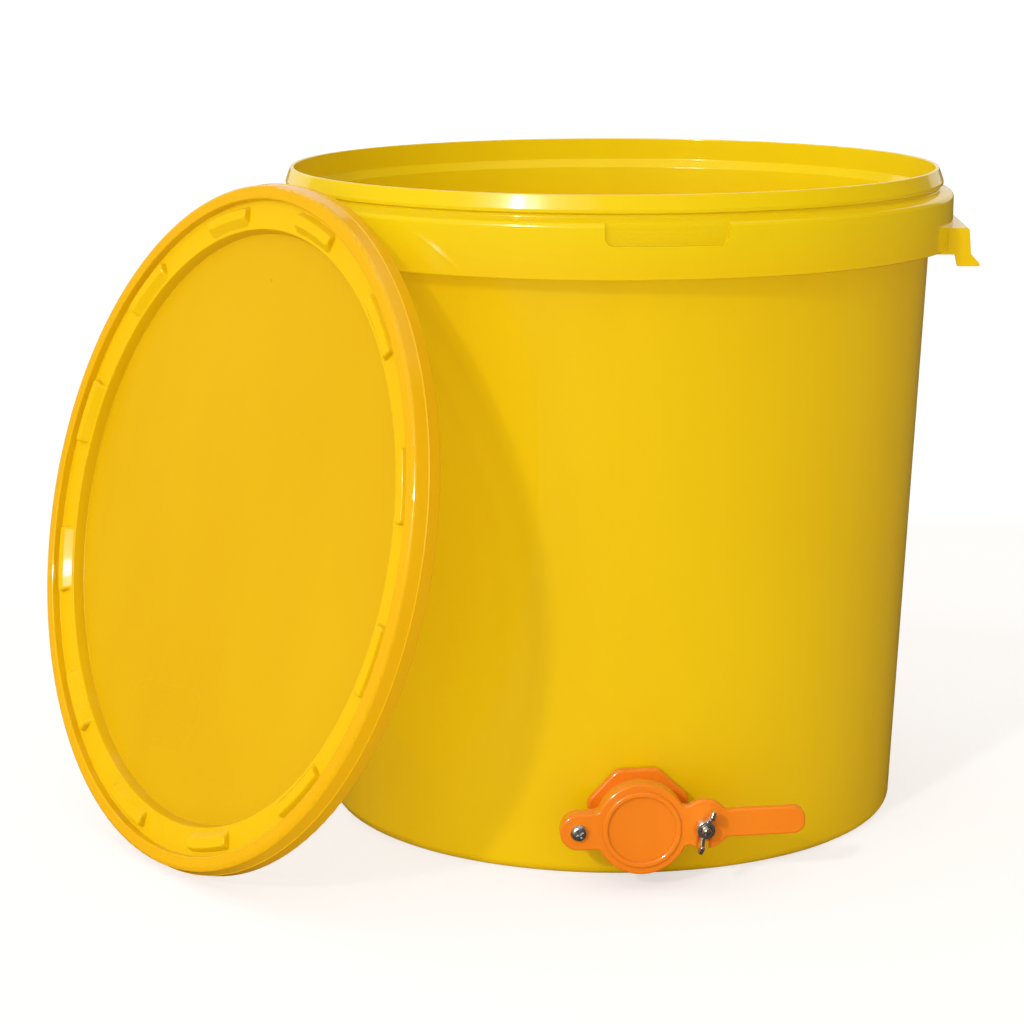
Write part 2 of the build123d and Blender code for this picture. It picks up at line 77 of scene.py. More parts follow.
camera_data = bpy.data.cameras.new("photo_camera")
camera_data.sensor_width = CAMERA_SENSOR
camera_data.lens = CAMERA_LENS
camera = bpy.data.objects.new("photo_camera", camera_data)
scene.collection.objects.link(camera)
camera.matrix_world = (
    Matrix.Translation(CAMERA_PLACE)
    @ Matrix.Rotation(-CAMERA_HEADING, 4, "Z")
    @ Matrix.Rotation(pi / 2 - CAMERA_PITCH, 4, "X")
    @ Matrix.Rotation(CAMERA_ROLL, 4, "Z")
)
scene.camera = camera
print(f"camera: {CAMERA_PLACE.length:.2f} m away, {degrees(CAMERA_PITCH):.1f} degrees down")

# %% [markdown]
# ## Helpers for node trees
#
# Every material below is a tree of nodes, and a tree is easier to read as a few short calls
# than as hundreds of lines of links. One helper adds a node and fills its inputs with values
# or with the outputs of other nodes. The others wrap the nodes that are used most.

# %% Make the node helpers
def fill_in(tree, made, inputs):
    """Fills a node's inputs, each with a value or with another node's output."""
    for name, value in inputs.items():
        if isinstance(value, bpy.types.NodeSocket):
            tree.links.new(value, made.inputs[name])
        else:
            made.inputs[name].default_value = value
    return made


def node(tree, kind, inputs=None, **settings):
    """Adds a node, sets its properties, and fills its inputs."""
    made = tree.nodes.new(kind)
    for name, value in settings.items():
        setattr(made, name, value)
    return fill_in(tree, made, inputs or {})


def math_node(tree, operation, first, second=0.5):
    """The value of one Math node."""
    return node(tree, "ShaderNodeMath", {0: first, 1: second}, operation=operation).outputs[0]


def map_range(tree, value, low, high, to_low=0.0, to_high=1.0, smooth=False):
    """A value carried from one range to another, and held at its ends."""
    kind = "SMOOTHSTEP" if smooth else "LINEAR"
    return node(tree, "ShaderNodeMapRange", {
        "Value": value, "From Min": low, "From Max": high, "To Min": to_low, "To Max": to_high,
    }, interpolation_type=kind).outputs[0]


def mix_colour(tree, factor, first, second, blend="MIX"):
    """One colour laid over another. A Mix node numbers its colour inputs 6 and 7."""
    made = node(tree, "ShaderNodeMix", data_type="RGBA", blend_type=blend)
    return fill_in(tree, made, {0: factor, 6: first, 7: second}).outputs[2]


print("helpers: node, math_node, map_range, mix_colour")

# %% [markdown]
# ## Light
#
# A low key light from the front left throws the lid's soft shadow across the wall. A sun lamp
# lights the floor as evenly far away as close by, and its angle sets how soft the shadow's
# edge is. In strong light a polished edge sparkles far more than such a soft key can show, so
# a second lamp beside it lights nothing but gloss.

# %% Light the studio
KEY_AZIMUTH = radians(-33.75)  # from -Y toward +X
KEY_ELEVATION = radians(29.4)
KEY_STRENGTH = 0.95
KEY_ANGLE = radians(3.5)
GLINT_AZIMUTH = radians(-40)
GLINT_STRENGTH = 5.0
GLINT_ANGLE = radians(1.5)
LAMP_DISTANCE = 3.0  # only for the eye: a sun shines alike from anywhere


def direction(azimuth, elevation):
    """Unit vector toward a heading, counted from -Y toward +X, and a height, in radians."""
    level = cos(elevation)
    return Vector((sin(azimuth) * level, -cos(azimuth) * level, sin(elevation)))


def sun(name, toward, strength, angle):
    """A sun lamp that shines from a direction."""
    lamp_data = bpy.data.lights.new(name, "SUN")
    lamp_data.energy = strength
    lamp_data.angle = angle
    lamp = bpy.data.objects.new(name, lamp_data)
    scene.collection.objects.link(lamp)
    turn = toward.to_track_quat("Z", "Y").to_matrix().to_4x4()
    lamp.matrix_world = Matrix.Translation(LAMP_DISTANCE * toward) @ turn
    return lamp


to_key = direction(KEY_AZIMUTH, KEY_ELEVATION)
to_glint = direction(GLINT_AZIMUTH, KEY_ELEVATION)
sun("key_light", to_key, KEY_STRENGTH, KEY_ANGLE)
glint = sun("glint_light", to_glint, GLINT_STRENGTH, GLINT_ANGLE)
glint.visible_diffuse = False
print(f"light: key and glint {degrees(KEY_ELEVATION):.0f} degrees up")

# %% [markdown]
# ## The fill
#
# The world lights what the key doesn't reach, brighter from the left and darker and a little
# warmer from the right. It is strong next to the key, so that the shadow is only a shade
# deeper than the lit wall. The world's colour is painted by direction: the cosine of the
# angle from a heading is one dot product.

# %% Paint the fill
FILL_AZIMUTH = KEY_AZIMUTH - radians(25)
FILL_ELEVATION = radians(17)
FILL_FROM_LEFT = 1.20
FILL_FROM_RIGHT = 0.38
FILL_SPAN = (-0.8, 0.9)  # cosines of the angle from the fill's heading
WARM_FILL = (1.05, 0.82, 0.60, 1)
PLAIN_FILL = (1.0, 1.0, 0.98, 1)
WARM_SPAN = (-0.6, 0.5)


def facing(tree, heading, toward):
    """The cosine of the angle between a ray's heading and a direction."""
    return node(tree, "ShaderNodeVectorMath", {0: heading, 1: toward},
                operation="DOT_PRODUCT").outputs["Value"]


world = bpy.data.worlds.new("studio")
scene.world = world
world.use_nodes = True
world.cycles.sampling_method = "NONE"  # else glossy surfaces see the fill as a lamp
tree = world.node_tree
tree.nodes.clear()
heading = node(tree, "ShaderNodeTexCoord").outputs["Generated"]
leftness = facing(tree, heading, direction(FILL_AZIMUTH, FILL_ELEVATION))
fill = map_range(tree, leftness, *FILL_SPAN, FILL_FROM_RIGHT, FILL_FROM_LEFT, smooth=True)
fill_tone = mix_colour(tree, map_range(tree, leftness, *WARM_SPAN), WARM_FILL, PLAIN_FILL)
print(f"fill: {FILL_FROM_LEFT} from the left, {FILL_FROM_RIGHT} from the right")

# %% [markdown]
# ## What the camera and glossy surfaces see
#
# The camera sees plain white. A glossy surface sees white only far behind the object, where
# the bucket's right edge mirrors it as a narrow pale strip, and a dim studio everywhere else,
# apart from a window round the key light and a pale ceiling. This keeps the yellow pure and
# gives the metal its dark and bright stripes.

# %% Paint what is mirrored
WHITE = (1, 1, 1, 1)
WHITE_SPREAD = radians(42)  # around +Y
WHITE_EDGE = 0.02  # half the width of its edge, in radians
WHITE_MIRRORED = 1.0
DIM_STUDIO = 0.08
WINDOW_SPREAD = radians(22)  # around the key light
WINDOW_EDGE = 0.1
WINDOW_LIGHT = 1.0
CEILING_START = sin(radians(48))
CEILING_EDGE = 0.1
CEILING_LIGHT = 0.6

ray = node(tree, "ShaderNodeLightPath").outputs
backdrop = map_range(tree, facing(tree, heading, Vector((0, 1, 0))),
                     cos(WHITE_SPREAD + WHITE_EDGE), cos(WHITE_SPREAD - WHITE_EDGE),
                     DIM_STUDIO, WHITE_MIRRORED)
window = map_range(tree, facing(tree, heading, to_key),
                   cos(WINDOW_SPREAD), cos(WINDOW_SPREAD - WINDOW_EDGE), 0.0, WINDOW_LIGHT)
above = node(tree, "ShaderNodeSeparateXYZ", {"Vector": heading}).outputs["Z"]
ceiling = map_range(tree, above, CEILING_START, CEILING_START + CEILING_EDGE,
                    0.0, CEILING_LIGHT)
mirrored = math_node(tree, "MAXIMUM", backdrop, math_node(tree, "MAXIMUM", window, ceiling))
glossy = math_node(tree, "MAXIMUM", ray["Is Glossy Ray"], ray["Is Transmission Ray"])
lighting = node(tree, "ShaderNodeMix", {"Factor": glossy, "A": fill, "B": mirrored})
strength = node(tree, "ShaderNodeMix", {
    "Factor": ray["Is Camera Ray"], "A": lighting.outputs["Result"], "B": 1.0})
untinted = math_node(tree, "MAXIMUM", glossy, ray["Is Camera Ray"])
background = node(tree, "ShaderNodeBackground", {
    "Color": mix_colour(tree, untinted, fill_tone, WHITE), "Strength": strength.outputs["Result"]})
node(tree, "ShaderNodeOutputWorld", {"Surface": background.outputs[0]})
print(f"world: white within {degrees(WHITE_SPREAD):.0f} degrees of +Y for glossy rays")

# %% [markdown]
# ## The floor
#
# A wide plane carries the shadow out to the horizon. For the camera it is a pale sheet that
# glows a little, so that it comes out white where it is lit and still darkens under the
# object. Every other ray meets an ordinary pale floor, dimmer where something glossy mirrors it.

# %% Lay the floor
FLOOR_SIZE = 60.0
FLOOR_DROP = 0.2 * MM
FLOOR_ROUGHNESS = 0.9
FLOOR_SPECULAR = 0.1
FLOOR_PALE = (0.84, 0.83, 0.81, 1)
FLOOR_SEEN = (0.46, 0.46, 0.46, 1)
FLOOR_MIRRORED = (0.06, 0.05, 0.04, 1)
FLOOR_GLOW = 0.58

bpy.ops.object.select_all(action="DESELECT")
bpy.ops.mesh.primitive_plane_add(size=FLOOR_SIZE, location=(0, 0, -FLOOR_DROP))
floor = bpy.context.object
floor.name = "floor"
floor_paint = bpy.data.materials.new("pale_floor")
floor_paint.use_nodes = True
tree = floor_paint.node_tree
ray = node(tree, "ShaderNodeLightPath").outputs
colour = mix_colour(tree, ray["Is Glossy Ray"], FLOOR_PALE, FLOOR_MIRRORED)
fill_in(tree, tree.nodes["Principled BSDF"], {
    "Base Color": mix_colour(tree, ray["Is Camera Ray"], colour, FLOOR_SEEN),
    "Roughness": FLOOR_ROUGHNESS,
    "Specular IOR Level": FLOOR_SPECULAR,
    "Emission Color": WHITE,
    "Emission Strength": math_node(tree, "MULTIPLY", ray["Is Camera Ray"], FLOOR_GLOW),
})
floor.data.materials.append(floor_paint)
scene.view_settings.view_transform = "Standard"
print(f"floor: {FLOOR_SIZE:.0f} m wide, {FLOOR_DROP / MM:.1f} mm below the object")

# %% [markdown]
# ## Effects that the plastics share
#
# A moulded surface is never one even colour: melt flows, specks are frozen in, and handling
# and dust leave their marks. Each effect could be drawn again in every material, but as a
# node group it is made once, with its own size as an input, so that the bucket, the lid, the
# gate and the screws can each wear it at their own scale. A group only puts out masks.

# %% Make the group helpers
VECTOR, FLOAT = "NodeSocketVector", "NodeSocketFloat"


def new_group(name, inputs, outputs):
    """An empty node group with its sockets, and its input and output nodes."""
    group = bpy.data.node_groups.new(name, "ShaderNodeTree")
    for socket, kind in inputs.items():
        group.interface.new_socket(socket, in_out="INPUT", socket_type=kind)
    for socket in outputs:
        group.interface.new_socket(socket, in_out="OUTPUT", socket_type=FLOAT)
    given = group.nodes.new("NodeGroupInput").outputs
    return group, given, group.nodes.new("NodeGroupOutput").inputs


def use(tree, group, **inputs):
    """Places a group in a material, with its inputs filled."""
    made = tree.nodes.new("ShaderNodeGroup")
    made.node_tree = group
    return fill_in(tree, made, inputs).outputs


def noise(tree, vector, scale, detail=2.0, rough=0.5):
    """The value of one Noise Texture, which lies mostly between 0.3 and 0.7."""
    return node(tree, "ShaderNodeTexNoise", {
        "Vector": vector, "Scale": scale, "Detail": detail, "Roughness": rough,
    }).outputs["Fac"]


print("group helpers: new_group, use, noise")

# %% [markdown]
# ## Flow marks
#
# Pigment isn't spread quite evenly in the melt, so a moulding is mottled in soft clouds, and
# faint streaks run the way the melt rose. Both are noise. For the streaks the coordinates are
# pressed together along Z, which draws the same noise out in that direction.

# %% Draw the flow marks
STREAK_STRETCH = (1.0, 1.0, 0.08)
STREAKS_PER_CLOUD = 9.0

flow_group, given, out = new_group(
    "flow_marks", {"Vector": VECTOR, "Scale": FLOAT}, ["Mottle", "Streaks"])
clouds = noise(flow_group, given["Vector"], given["Scale"], 2.0, 0.55)
drawn_out = node(flow_group, "ShaderNodeVectorMath", {0: given["Vector"], 1: STREAK_STRETCH},
                 operation="MULTIPLY").outputs["Vector"]
lines = noise(flow_group, drawn_out,
              math_node(flow_group, "MULTIPLY", given["Scale"], STREAKS_PER_CLOUD))
flow_group.links.new(map_range(flow_group, clouds, 0.3, 0.7), out["Mottle"])
flow_group.links.new(map_range(flow_group, lines, 0.3, 0.7), out["Streaks"])
print(f"group: {flow_group.name}, {STREAKS_PER_CLOUD:.0f} streaks to a cloud")

# %% [markdown]
# ## Specks
#
# Now and then a grain of burnt plastic is frozen in. A Voronoi texture fills space with cells
# and gives each a point and a random colour. Red decides whether a cell has a speck at all,
# green how large it is, and the distance from the point draws it as a small soft dot.

# %% Scatter the specks
SPECK_REACH = (0.02, 0.06)  # least and largest radius, as a share of a cell
SPECK_EDGE = (-0.02, 0.03)

speck_group, given, out = new_group(
    "specks", {"Vector": VECTOR, "Scale": FLOAT, "Share": FLOAT}, ["Mask"])
cells = node(speck_group, "ShaderNodeTexVoronoi",
             {"Vector": given["Vector"], "Scale": given["Scale"]}).outputs
chosen = node(speck_group, "ShaderNodeSeparateColor", {"Color": cells["Color"]}).outputs
there = math_node(speck_group, "LESS_THAN", chosen["Red"], given["Share"])
reach = map_range(speck_group, chosen["Green"], 0.0, 1.0, *SPECK_REACH)
spot = map_range(speck_group, math_node(speck_group, "SUBTRACT", reach, cells["Distance"]),
                 *SPECK_EDGE, smooth=True)
speck_group.links.new(math_node(speck_group, "MULTIPLY", spot, there), out["Mask"])
print(f"group: {speck_group.name}, one dot in each chosen cell")

# %% [markdown]
# ## Fine scratches
#
# Wiping and stacking leave hair-fine lines in all directions. Noise squeezed hard across two
# axes turns into long threads, and only its highest crests are kept, so that the threads are
# short and far apart. Two sets, turned against each other, are enough to look unplanned.

# %% Scratch the surface
SCRATCH_SETS = ((0.5, 0.0), (-0.9, 3.7))  # each set's turn in radians, and its offset
SCRATCH_SQUEEZE = (1.0, 18.0, 18.0)
SCRATCH_CREST = (0.70, 0.74)

scratch_group, given, out = new_group(
    "fine_scratches", {"Vector": VECTOR, "Scale": FLOAT}, ["Mask"])
marks = []
for turn, offset in SCRATCH_SETS:
    squeezed = node(scratch_group, "ShaderNodeMapping", {
        "Vector": given["Vector"], "Location": (offset, offset, 0),
        "Rotation": (turn, 0.4 * turn, turn), "Scale": SCRATCH_SQUEEZE}).outputs[0]
    threads = noise(scratch_group, squeezed, given["Scale"], 1.0)
    marks.append(map_range(scratch_group, threads, *SCRATCH_CREST))
scratch_group.links.new(math_node(scratch_group, "MAXIMUM", *marks), out["Mask"])
print(f"group: {scratch_group.name}, {len(marks)} crossing sets")

# %% [markdown]
# ## Dust
#
# Dust lies where a face looks up, and in patches. The height of the surface's own normal says
# where it could settle, and noise says where it did. Reading the normal keeps the dust on top
# of every piece without a mask painted by hand.

# %% Settle the dust
DUST_SLOPE = (0.55, 0.95)  # Z of the normal, from none to all of it
DUST_PATCH = (0.45, 0.75)

dust_group, given, out = new_group("settled_dust", {"Vector": VECTOR, "Scale": FLOAT}, ["Mask"])
normal = node(dust_group, "ShaderNodeNewGeometry").outputs["Normal"]
upward = node(dust_group, "ShaderNodeSeparateXYZ", {"Vector": normal}).outputs["Z"]
patches = noise(dust_group, given["Vector"], given["Scale"], 2.0, 0.6)
lying = math_node(dust_group, "MULTIPLY",
                  map_range(dust_group, upward, *DUST_SLOPE, smooth=True),
                  map_range(dust_group, patches, *DUST_PATCH))
dust_group.links.new(lying, out["Mask"])
print(f"group: {dust_group.name}, on faces that look up")

# %% [markdown]
# ## The paint of a plastic
#
# All three plastics are coloured the same way. Mottle and flow streaks shift the base colour
# by a few percent, specks darken it, and dust pales it where it faces up. Each is one Mix
# node over the last, as coats of paint would be, and a piece may lay a colour of its own
# between them, which on the lid is painted light.

# %% Make the paint helper
STREAK_STRENGTH = 0.22
STREAK_LIFT = 1.03
SPECK_STRENGTH = 0.45
SPECK_DARK = (0.45, 0.6)
DEEP_GREEN = 0.97  # thicker plastic is a little redder
DUST_PALE = (0.82, 0.80, 0.74, 1)


def shade(colour, factor, green=1.0):
    """A colour made darker, with its green changed on top."""
    return (colour[0] * factor, colour[1] * factor * green, colour[2] * factor, 1)


def moulded_paint(tree, place, colour, deep, flow, specks, dirt, tint):
    """The colour of a moulded plastic, from its own colour and the masks over it."""
    paint = mix_colour(tree, flow["Mottle"], shade(colour, deep, DEEP_GREEN), shade(colour, 1.0))
    streaks = math_node(tree, "MULTIPLY", flow["Streaks"], STREAK_STRENGTH)
    paint = mix_colour(tree, streaks, paint, shade(colour, STREAK_LIFT, STREAK_LIFT))
    if tint:
        paint = tint(tree, place, paint)
    specks = math_node(tree, "MULTIPLY", specks, SPECK_STRENGTH)
    paint = mix_colour(tree, specks, paint, shade(colour, *SPECK_DARK))
    return mix_colour(tree, dirt, paint, DUST_PALE)


print("paint: mottle, streaks, a piece's own tint, specks and dust")

# %% [markdown]
# ## How a plastic is put together
#
# Scratches and mottle roughen the plastic, and a slow ripple in its height keeps reflections
# from being ruled straight. A thin clear coat over a duller base gives the crisp highlights
# of a polished mould. A thin wall also lets part of the light through to what is behind it:
# shadow and diffuse rays meet each of its two faces as partly clear, while the camera never
# sees through it. Scattering inside the wall would do this too, but takes twice as long.

# %% Make the plastic helper
CLOUDS_PER_PIECE = 1.6
SPECK_CELLS_PER_PIECE = 11.0
SCRATCHES_PER_PIECE = 14.0
RIPPLES_PER_PIECE = 22.0
DUST_PATCHES_PER_PIECE = 24.0
SCRATCH_ROUGHNESS = 0.04


def plastic(name, colour, size, deep=0.94, roughness=(0.30, 0.42), relief=0.02,
            speck_share=0.02, dust=0.04, tint=None, coat=None, bumps=(), glow=0.0, **sockets):
    """A moulded plastic. Its patterns are scaled by the size of the piece, in metres."""
    made = bpy.data.materials.new(name)
    made.use_nodes = True
    tree = made.node_tree
    place = node(tree, "ShaderNodeTexCoord").outputs["Object"]
    flow = use(tree, flow_group, Vector=place, Scale=CLOUDS_PER_PIECE / size)
    specks = use(tree, speck_group, Vector=place, Scale=SPECK_CELLS_PER_PIECE / size,
                 Share=speck_share)["Mask"]
    scratches = use(tree, scratch_group, Vector=place, Scale=SCRATCHES_PER_PIECE / size)["Mask"]
    patches = use(tree, dust_group, Vector=place, Scale=DUST_PATCHES_PER_PIECE / size)["Mask"]
    dirt = math_node(tree, "MULTIPLY", patches, dust)
    rough = map_range(tree, flow["Mottle"], 0.0, 1.0, *roughness)
    worn = math_node(tree, "MULTIPLY", scratches, SCRATCH_ROUGHNESS)
    height = noise(tree, place, RIPPLES_PER_PIECE / size, 1.0)
    for bump in bumps:
        height = math_node(tree, "ADD", height, bump(tree, place))
    inputs = {socket.replace("_", " "): value for socket, value in sockets.items()}
    inputs["Base Color"] = moulded_paint(tree, place, colour, deep, flow, specks, dirt, tint)
    inputs["Roughness"] = math_node(tree, "ADD", rough, worn)
    inputs["Normal"] = node(tree, "ShaderNodeBump", {
        "Height": height, "Distance": relief * MM, "Strength": 1.0}).outputs[0]
    if coat:
        inputs["Coat Weight"] = coat(tree, place)
    if glow:
        ray = node(tree, "ShaderNodeLightPath").outputs
        passing = math_node(tree, "MAXIMUM", ray["Is Shadow Ray"], ray["Is Diffuse Ray"])
        inputs["Alpha"] = map_range(tree, passing, 0.0, 1.0, 1.0, 1.0 - glow)
    fill_in(tree, tree.nodes["Principled BSDF"], inputs)
    return made


print("plastic: colour, roughness and relief from four shared groups")

# %% [markdown]
# ## Marks of the bucket's mould
#
# The tool for the wall has a place for a label plate. The plate isn't used, and only the
# sides of its outline show, as two fine upright ridges. The collar and the neck have upright
# draw marks from the tool as it opened. All are a few hundredths of a millimetre deep, so
# they are relief in the material and not shape. Both follow the angle around the bucket.

# %% Draw the marks of the mould
PLATE_LINES = (radians(-17.9), radians(-4.8))  # from -Y toward +X
PLATE_LINE_WIDTH = radians(0.24)
PLATE_LOW, PLATE_HIGH = 195 * MM, 291 * MM
PLATE_RELIEF = 1.6
COLLAR_LOW = 330 * MM
COLLAR_EDGE = 4 * MM
DRAW_MARKS = 55.0  # to a radian
DRAW_RELIEF = 3.0


def azimuth_and_height(tree, place):
    """Where a point is around the bucket's axis, and how high."""
    part = node(tree, "ShaderNodeSeparateXYZ", {"Vector": place}).outputs
    away = math_node(tree, "MULTIPLY", part["Y"], -1.0)
    return math_node(tree, "ARCTAN2", part["X"], away), part["Z"]


def plate_outline(tree, place):
    """Fine upright ridges at the sides of the label plate."""
    azimuth, height = azimuth_and_height(tree, place)
    ridges = 0.0
    for line in PLATE_LINES:
        off = math_node(tree, "ABSOLUTE", math_node(tree, "SUBTRACT", azimuth, line))
        ridge = map_range(tree, off, 0.0, PLATE_LINE_WIDTH, 1.0, 0.0, smooth=True)
        ridges = math_node(tree, "ADD", ridge, ridges)
    inside = math_node(tree, "MULTIPLY", math_node(tree, "GREATER_THAN", height, PLATE_LOW),
                       math_node(tree, "LESS_THAN", height, PLATE_HIGH))
    return math_node(tree, "MULTIPLY", math_node(tree, "MULTIPLY", ridges, inside), PLATE_RELIEF)


def draw_marks(tree, place):
    """Upright lines in the collar and the neck, left as the tool drew back."""
    azimuth, height = azimuth_and_height(tree, place)
    around = node(tree, "ShaderNodeCombineXYZ", {"X": azimuth}).outputs[0]
    lines = noise(tree, around, DRAW_MARKS, 1.0, 0.6)
    depth = map_range(tree, height, COLLAR_LOW, COLLAR_LOW + COLLAR_EDGE, 0.0, DRAW_RELIEF)
    return math_node(tree, "MULTIPLY", lines, depth)


print(f"marks: {len(PLATE_LINES)} ridges on the wall, draw marks above {COLLAR_LOW / MM:.0f} mm")

# %% [markdown]
# ## The bucket's yellow
#
# Polypropylene lets some light through, and in strong light its walls glow. Inner corners
# turn orange, because the light there has met the colour more than once: bounced light does
# this by itself when the colour is pure enough. The collar, the neck and the lip are painted a
# little paler than the wall.

# %% Mix the bucket's plastic
BUCKET_YELLOW = (0.83, 0.545, 0.001, 1)
MOUTH_PALER = (1.0, 1.09, 1.0, 1)  # times the colour of the wall
MOUTH_BLEND = 30 * MM


def mouth_tint(tree, place, paint):
    """Paints the collar, the neck and the lip a little paler than the wall."""
    height = azimuth_and_height(tree, place)[1]
    upper = map_range(tree, height, COLLAR_LOW, COLLAR_LOW + MOUTH_BLEND, smooth=True)
    return mix_colour(tree, upper, paint, mix_colour(tree, 1.0, paint, MOUTH_PALER, "MULTIPLY"))


bucket_plastic = plastic(
    "bucket_plastic", BUCKET_YELLOW, 0.40, deep=0.95, dust=0.015, glow=0.68,
    tint=mouth_tint, bumps=(plate_outline, draw_marks),
    IOR=1.45, Specular_IOR_Level=0.08, Coat_Weight=0.6, Coat_Roughness=0.08)
print(f"bucket: base colour {BUCKET_YELLOW[:3]}")

# %% [markdown]
# ## The lid's own axes
#
# The lid's colours lie in rings round its axis, and the lid leans. Its axis is read from its
# mesh: of all directions, the faces spread least along it, which the smallest eigenvector of
# their spread gives. A Mapping node then turns the coordinates into the lid's plane, where
# the distance from the axis is the length of a flat vector.

# %% Find the lid's axis
lid_mesh = nodes["lid"].data
areas = np.array([face.area for face in lid_mesh.polygons])
centres = np.array([face.center for face in lid_mesh.polygons])
lid_centre = (centres * areas[:, None]).sum(axis=0) / areas.sum()
spread = centres - lid_centre
lid_axis = Vector(np.linalg.eigh((spread * areas[:, None]).T @ spread)[1][:, 0])
if lid_axis.y > 0:
    lid_axis.negate()
lid_turn = lid_axis.to_track_quat("Z", "Y").to_euler()


def lid_radius(tree, place):
    """How far a point is from the lid's own axis."""
    flat = node(tree, "ShaderNodeMapping", {
        "Vector": place, "Location": Vector(lid_centre), "Rotation": lid_turn,
    }, vector_type="TEXTURE").outputs[0]
    part = node(tree, "ShaderNodeSeparateXYZ", {"Vector": flat}).outputs
    level = node(tree, "ShaderNodeCombineXYZ", {"X": part["X"], "Y": part["Y"]}).outputs[0]
    return node(tree, "ShaderNodeVectorMath", {0: level}, operation="LENGTH").outputs["Value"]


print(f"lid: its axis is {degrees(lid_axis.angle(Vector((0, 0, 1)))):.1f} degrees from upright")

# %% [markdown]
# ## The lid's yellow
#
# The lid has the same plastic in a thinner wall. Its ledge and the rim outside it are painted
# lighter than the flat panel, as painted light that makes up for the shade their slopes take,
# and the rim is painted more orange and is more polished. One number, the distance from the
# lid's axis, steers both the colour and the clear coat.

# %% Mix the lid's plastic
LID_YELLOW = (0.71, 0.415, 0.001, 1)
# painted light: both lift the panel's colour where the ledge and rim take shade
LEDGE_PAINTED_LIGHT = (1.15, 1.20, 1.0, 1)  # times the colour of the panel
RIM_PAINTED_LIGHT = (1.16, 1.06, 1.0, 1)
PANEL_EDGE = 163.5 * MM
LEDGE_START = 166.5 * MM
RIM_START = 180.5 * MM
RIM_FULL = RIM_START + 2 * MM
SATIN_COAT, POLISHED_COAT = 0.05, 0.6


def rim_painted_light(tree, place, paint):
    """Painted light: the ledge and the rim outside it lifted above the panel, the rim more orange.
    """
    radius = lid_radius(tree, place)
    ledge = map_range(tree, radius, PANEL_EDGE, LEDGE_START, smooth=True)
    rim = map_range(tree, radius, RIM_START, RIM_FULL, smooth=True)
    zone = mix_colour(tree, rim, LEDGE_PAINTED_LIGHT, RIM_PAINTED_LIGHT)
    return mix_colour(tree, ledge, paint, mix_colour(tree, 1.0, paint, zone, "MULTIPLY"))


def rim_polish(tree, place):
    """The clear coat: strong on the polished rim and thin on the satin ledge and panel."""
    radius = lid_radius(tree, place)
    return map_range(tree, radius, RIM_START, RIM_FULL, SATIN_COAT, POLISHED_COAT)


lid_plastic = plastic(
    "lid_plastic", LID_YELLOW, 0.36, deep=0.95, roughness=(0.26, 0.36), glow=0.7,
    tint=rim_painted_light, coat=rim_polish,
    IOR=1.45, Specular_IOR_Level=0.08, Coat_Roughness=0.05)
print(f"lid: base colour {LID_YELLOW[:3]}")

# %% [markdown]
# ## The gate's orange
#
# The gate is a stiffer, glossier plastic than the bucket. Its edges are rounded by polishing
# and catch the key light in small crisp highlights, so it gets a stronger coat. Its walls are
# thick, so light scatters inside it and none passes through.

# %% Mix the gate's plastic
GATE_ORANGE = (0.86, 0.225, 0.006, 1)

gate_plastic = plastic(
    "gate_plastic", GATE_ORANGE, 0.11, deep=0.93, roughness=(0.28, 0.38), relief=0.012,
    speck_share=0.03, dust=0.08,
    IOR=1.5, Specular_IOR_Level=0.10, Coat_Weight=1.0, Coat_Roughness=0.08,
    Subsurface_Weight=0.10, Subsurface_Radius=(1.0, 0.25, 0.02), Subsurface_Scale=3 * MM)
print(f"gate: base colour {GATE_ORANGE[:3]}")

# %% [markdown]
# ## Rubber and steel
#
# The gaskets are matt natural rubber with a powdery bloom, which the plastic's helper gives
# with other values. The screws and nuts are plated steel: nearly colourless, dulled in soft
# patches by handling, with fine marks from the tools that turned them. Metal has no paint of
# its own, so its material is put together here, from the same groups.

# %% Mix the rubber and the steel
RUBBER_GREY = (0.58, 0.55, 0.50, 1)
STEEL_GREY = (0.80, 0.78, 0.75, 1)
STEEL_WORN = (0.8, 0.79, 0.77, 1)
STEEL_DULL = 0.78
STEEL_ROUGHNESS = (0.30, 0.17)  # where it is dull, and where it is bright
STEEL_RELIEF = 0.006 * MM
STEEL_CLOUDS, STEEL_SCRATCHES, STEEL_RIPPLES = 90.0, 260.0, 900.0  # to a metre

gasket_rubber = plastic(
    "gasket_rubber", RUBBER_GREY, 0.05, deep=0.86, roughness=(0.6, 0.8), relief=0.03,
    dust=0.3, Specular_IOR_Level=0.25)

fastener_steel = bpy.data.materials.new("fastener_steel")
fastener_steel.use_nodes = True
tree = fastener_steel.node_tree
place = node(tree, "ShaderNodeTexCoord").outputs["Object"]
mottle = use(tree, flow_group, Vector=place, Scale=STEEL_CLOUDS)["Mottle"]
scratches = use(tree, scratch_group, Vector=place, Scale=STEEL_SCRATCHES)["Mask"]
paint = mix_colour(tree, mottle, shade(STEEL_GREY, STEEL_DULL), STEEL_GREY)
worn = math_node(tree, "MULTIPLY", scratches, 0.3)
height = math_node(tree, "SUBTRACT", noise(tree, place, STEEL_RIPPLES), scratches)
fill_in(tree, tree.nodes["Principled BSDF"], {
    "Metallic": 1.0,
    "Base Color": mix_colour(tree, worn, paint, STEEL_WORN),
    "Roughness": map_range(tree, mottle, 0.0, 1.0, *STEEL_ROUGHNESS),
    "Normal": node(tree, "ShaderNodeBump", {
        "Height": height, "Distance": STEEL_RELIEF}).outputs[0],
})
print(f"steel: base colour {STEEL_GREY[:3]}, rubber: {RUBBER_GREY[:3]}")

# %% [markdown]
# ## Every piece gets its finish
#
# The record names a material slot for each piece. The solids come in with plain materials of
# those names, so each slot is given the finish that stands for it here.

